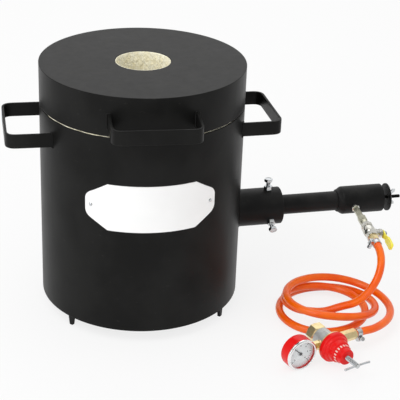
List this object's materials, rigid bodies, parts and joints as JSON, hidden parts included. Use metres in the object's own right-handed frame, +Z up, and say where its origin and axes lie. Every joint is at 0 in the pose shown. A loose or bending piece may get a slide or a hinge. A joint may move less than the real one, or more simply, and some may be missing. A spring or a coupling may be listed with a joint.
{
  "type": "gas crucible melting furnace",
  "caption": "Upright wool-lined steel drum furnace with a lift-off vented lid, a side venturi gas burner, ball valve, coiled gas hose and pressure regulator with gauge.",
  "frame": {"origin": "on the floor, on the drum's own axis", "axes": "+Z up along the drum's axis, +X toward the burner's side, -Y toward the nameplate"},
  "size_m": [0.6861, 0.534, 0.42],
  "materials": {
    "black_enamel": "satin",
    "black_burner": "matt",
    "ceramic_wool": "matt",
    "refractory": "matt",
    "plate_white": "gloss",
    "zinc": "bright",
    "brass": "bright",
    "nickel": "satin",
    "yellow_lever": "gloss",
    "orange_hose": "gloss",
    "rubber_black": "matt",
    "red_paint": "gloss",
    "chrome": "mirror",
    "clear": "polished",
    "dial_white": "matt",
    "needle_black": "matt"
  },
  "bodies": {
    "furnace": {"body_shell": "black_enamel", "base_plate": "black_enamel", "feet": "black_enamel", "body_handle_left": "black_enamel", "body_handle_right": "black_enamel", "burner_holder": "black_burner", "mixing_tube": "black_burner", "flame_flare": "black_burner", "burner_bell": "black_burner", "choke_rod": "black_burner", "body_wool": "ceramic_wool", "floor_insulation": "ceramic_wool", "hot_face_coating": "refractory", "refractory_floor": "refractory", "nameplate": "plate_white", "nameplate_rivets": "zinc", "holder_nuts": "zinc", "clamp_bands": "zinc", "clamp_screws": "zinc", "regulator_spring": "zinc", "jet_tube": "brass", "jet_lock_nut": "brass", "jet_holder": "brass", "reducing_nipple": "brass", "hose_barb": "brass", "regulator_body": "brass", "inlet_nipple": "brass", "outlet_barb": "brass", "gauge_stem": "brass", "valve_body": "nickel", "valve_gland_nut": "nickel", "body_collar": "nickel", "hose_lead": "orange_hose", "hose_coil": "orange_hose", "diaphragm": "rubber_black", "bonnet": "red_paint", "gauge_case": "red_paint", "gauge_bezel": "chrome", "gauge_lens": "clear", "gauge_dial": "dial_white"},
    "lid": {"lid_band": "black_enamel", "lid_top_plate": "black_enamel", "lid_wool": "ceramic_wool", "lid_handle_front": "black_enamel", "lid_handle_rear": "black_enamel"},
    "clamp_screw_top": {"holder_screw_1": "zinc"},
    "clamp_screw_front": {"holder_screw_2": "zinc"},
    "clamp_screw_back": {"holder_screw_3": "zinc"},
    "choke": {"choke_plate": "black_burner"},
    "wing_nut": {"choke_wing_nut": "zinc"},
    "lever": {"valve_lever": "yellow_lever", "lever_nut": "zinc", "valve_stem": "nickel", "valve_ball": "nickel"},
    "seat": {"spring_seat": "zinc"},
    "tee_screw": {"adjusting_screw": "zinc", "tee_bar": "zinc"},
    "swivel_nut": {"inlet_nut": "brass"},
    "needle": {"gauge_needle": "needle_black"}
  },
  "joints": [
    {"name": "lid_lift", "type": "slide", "parent": "furnace", "child": "lid", "axis": [0, 0, 1], "range_m": [0, 0.25]},
    {"name": "clamp_top_back_off", "type": "slide", "parent": "furnace", "child": "clamp_screw_top", "axis": [0, 0, 1], "range_m": [0, 0.012]},
    {"name": "clamp_front_back_off", "type": "slide", "parent": "furnace", "child": "clamp_screw_front", "axis": [0.0755, -0.8627, -0.5], "range_m": [0, 0.012]},
    {"name": "clamp_back_back_off", "type": "slide", "parent": "furnace", "child": "clamp_screw_back", "axis": [-0.0755, 0.8627, -0.5], "range_m": [0, 0.012]},
    {"name": "choke_slide", "type": "slide", "parent": "furnace", "child": "choke", "axis": [0.9962, 0.0872, 0], "range_m": [-0.009, 0.012]},
    {"name": "wing_nut_turn", "type": "hinge", "parent": "choke", "child": "wing_nut", "pos_m": [0.44231, 0.0387, 0.146], "axis": [0.9962, 0.0872, 0], "range_deg": [-3250, 4332]},
    {"name": "valve_turn", "type": "hinge", "parent": "furnace", "child": "lever", "pos_m": [0.37923, -0.06646, 0.13381], "axis": [0.9595, 0.1156, -0.2569], "range_deg": [-90, 0]},
    {"name": "seat_slide", "type": "slide", "parent": "furnace", "child": "seat", "axis": [-0.3843, 0.9232, 0], "range_m": [0, 0.005]},
    {"name": "tee_turn", "type": "hinge", "parent": "seat", "child": "tee_screw", "pos_m": [0.30469, -0.30434, 0.027], "axis": [-0.3843, 0.9232, 0], "range_deg": [-2, 1444]},
    {"name": "swivel_nut_turn", "type": "hinge", "parent": "furnace", "child": "swivel_nut", "pos_m": [0.26434, -0.20741, 0.027], "axis": [0.3843, -0.9232, 0], "continuous": true},
    {"name": "needle_turn", "type": "hinge", "parent": "furnace", "child": "needle", "pos_m": [0.22155, -0.25554, 0.027], "axis": [-0.3843, 0.9232, 0], "range_deg": [0, 270], "stiffness_Nm_per_rad": 0.001}
  ],
  "couplings": [
    {"joint": "wing_nut_turn", "follows": "choke_slide", "rad_per_m": 6283.2},
    {"joint": "tee_turn", "follows": "seat_slide", "rad_per_m": 5026.5}
  ]
}
